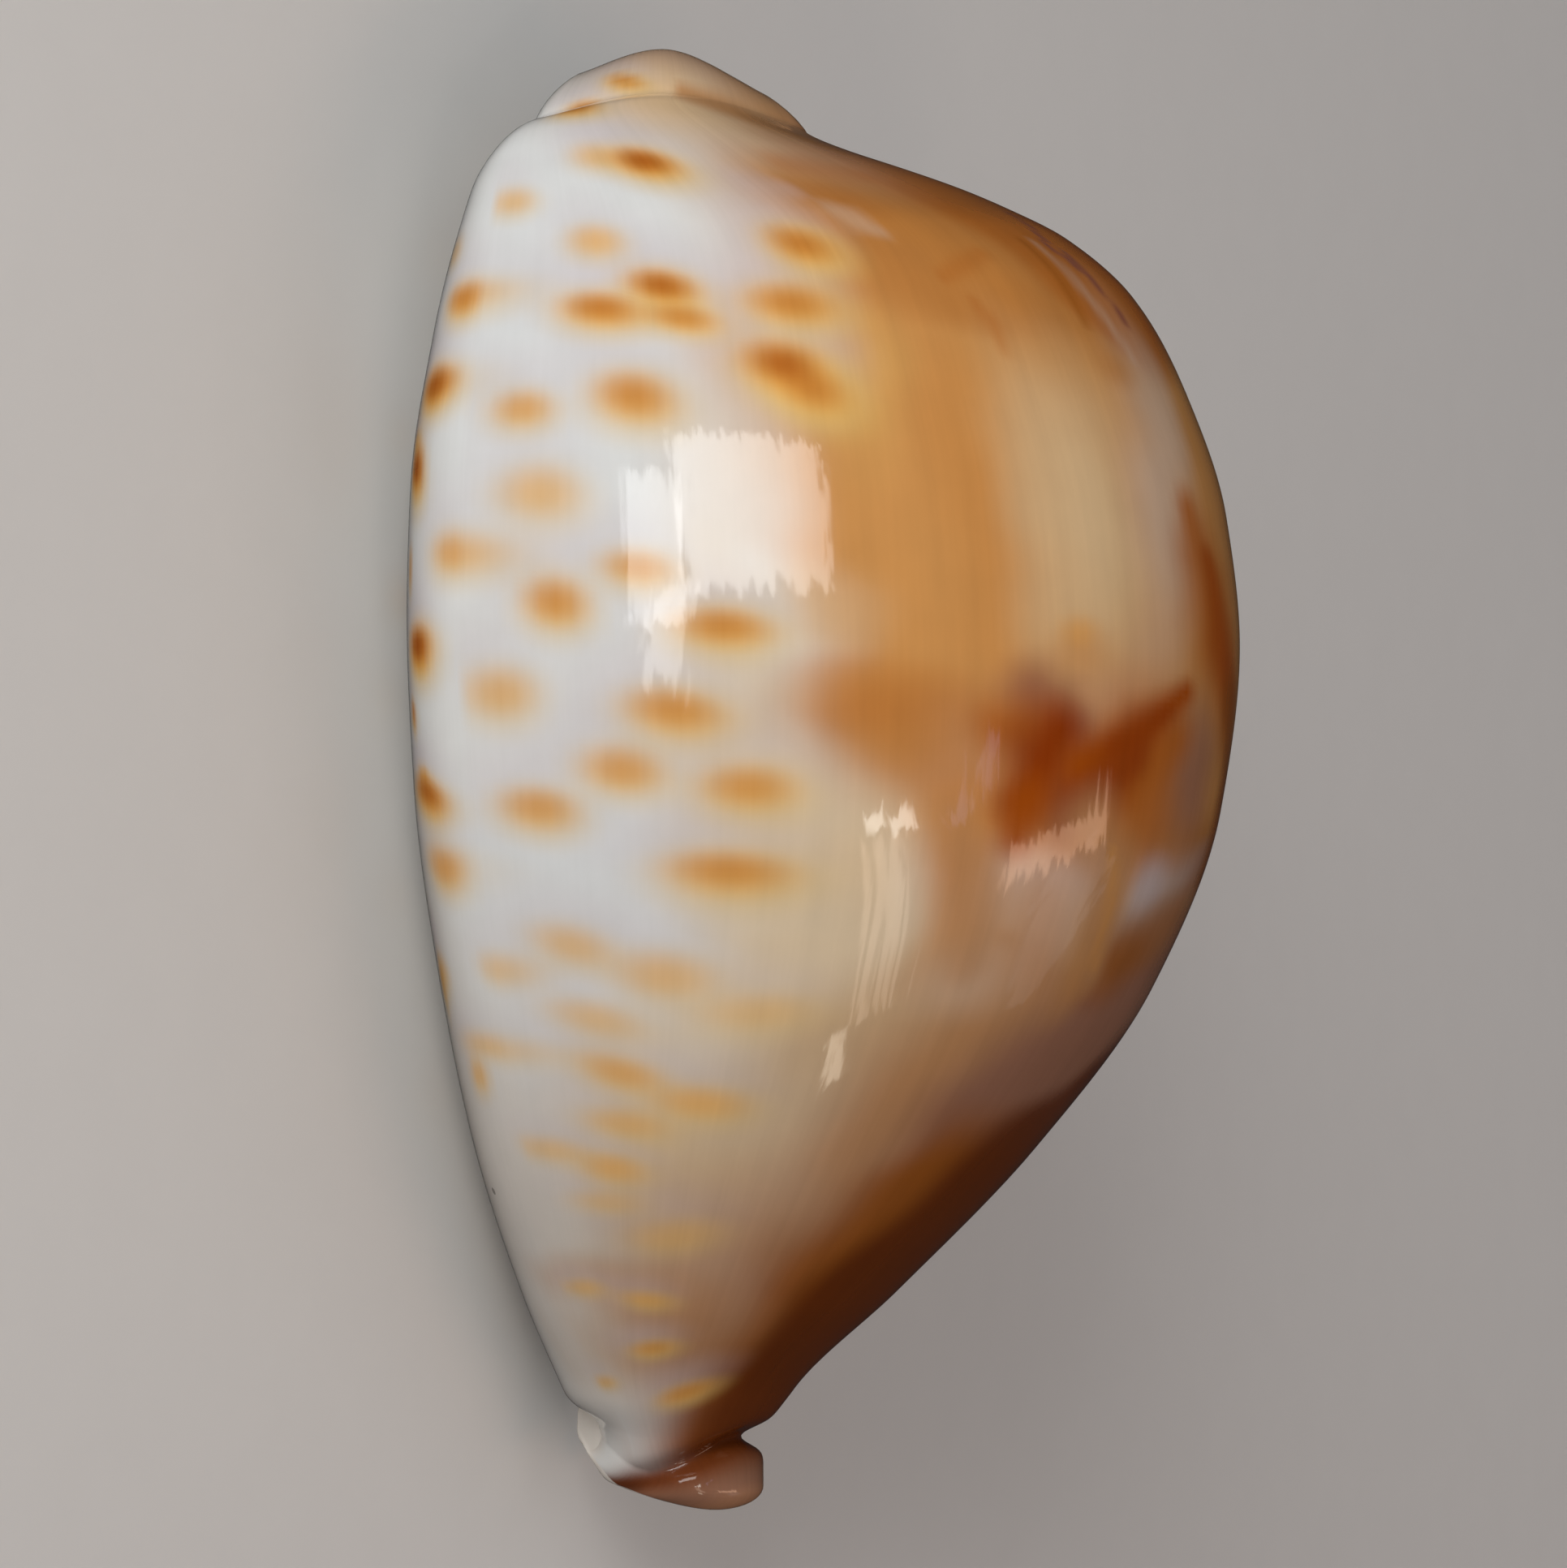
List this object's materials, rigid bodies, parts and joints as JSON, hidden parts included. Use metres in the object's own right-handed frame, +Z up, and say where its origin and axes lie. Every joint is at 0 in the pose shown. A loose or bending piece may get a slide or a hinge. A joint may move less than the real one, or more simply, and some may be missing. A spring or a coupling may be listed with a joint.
{
  "type": "cowrie shell",
  "caption": "Humped, pear-shaped cowrie shell with drawn-out ends and a toothed aperture, lying on its base.",
  "frame": {"origin": "centre of the shell's box, on the plane it rests on", "axes": "+X towards the narrow front end, +Z up through the humped back, -Y towards the outer lip's side and +Y towards the columella's side; the aperture faces down"},
  "size_m": [0.0701, 0.0417, 0.0348],
  "materials": {
    "enamel": "natural glossy enamel: cool white margins with orange-brown spots, tan back with dark brown marks"
  },
  "bodies": {
    "root": {"shell": "enamel"}
  },
  "joints": []
}
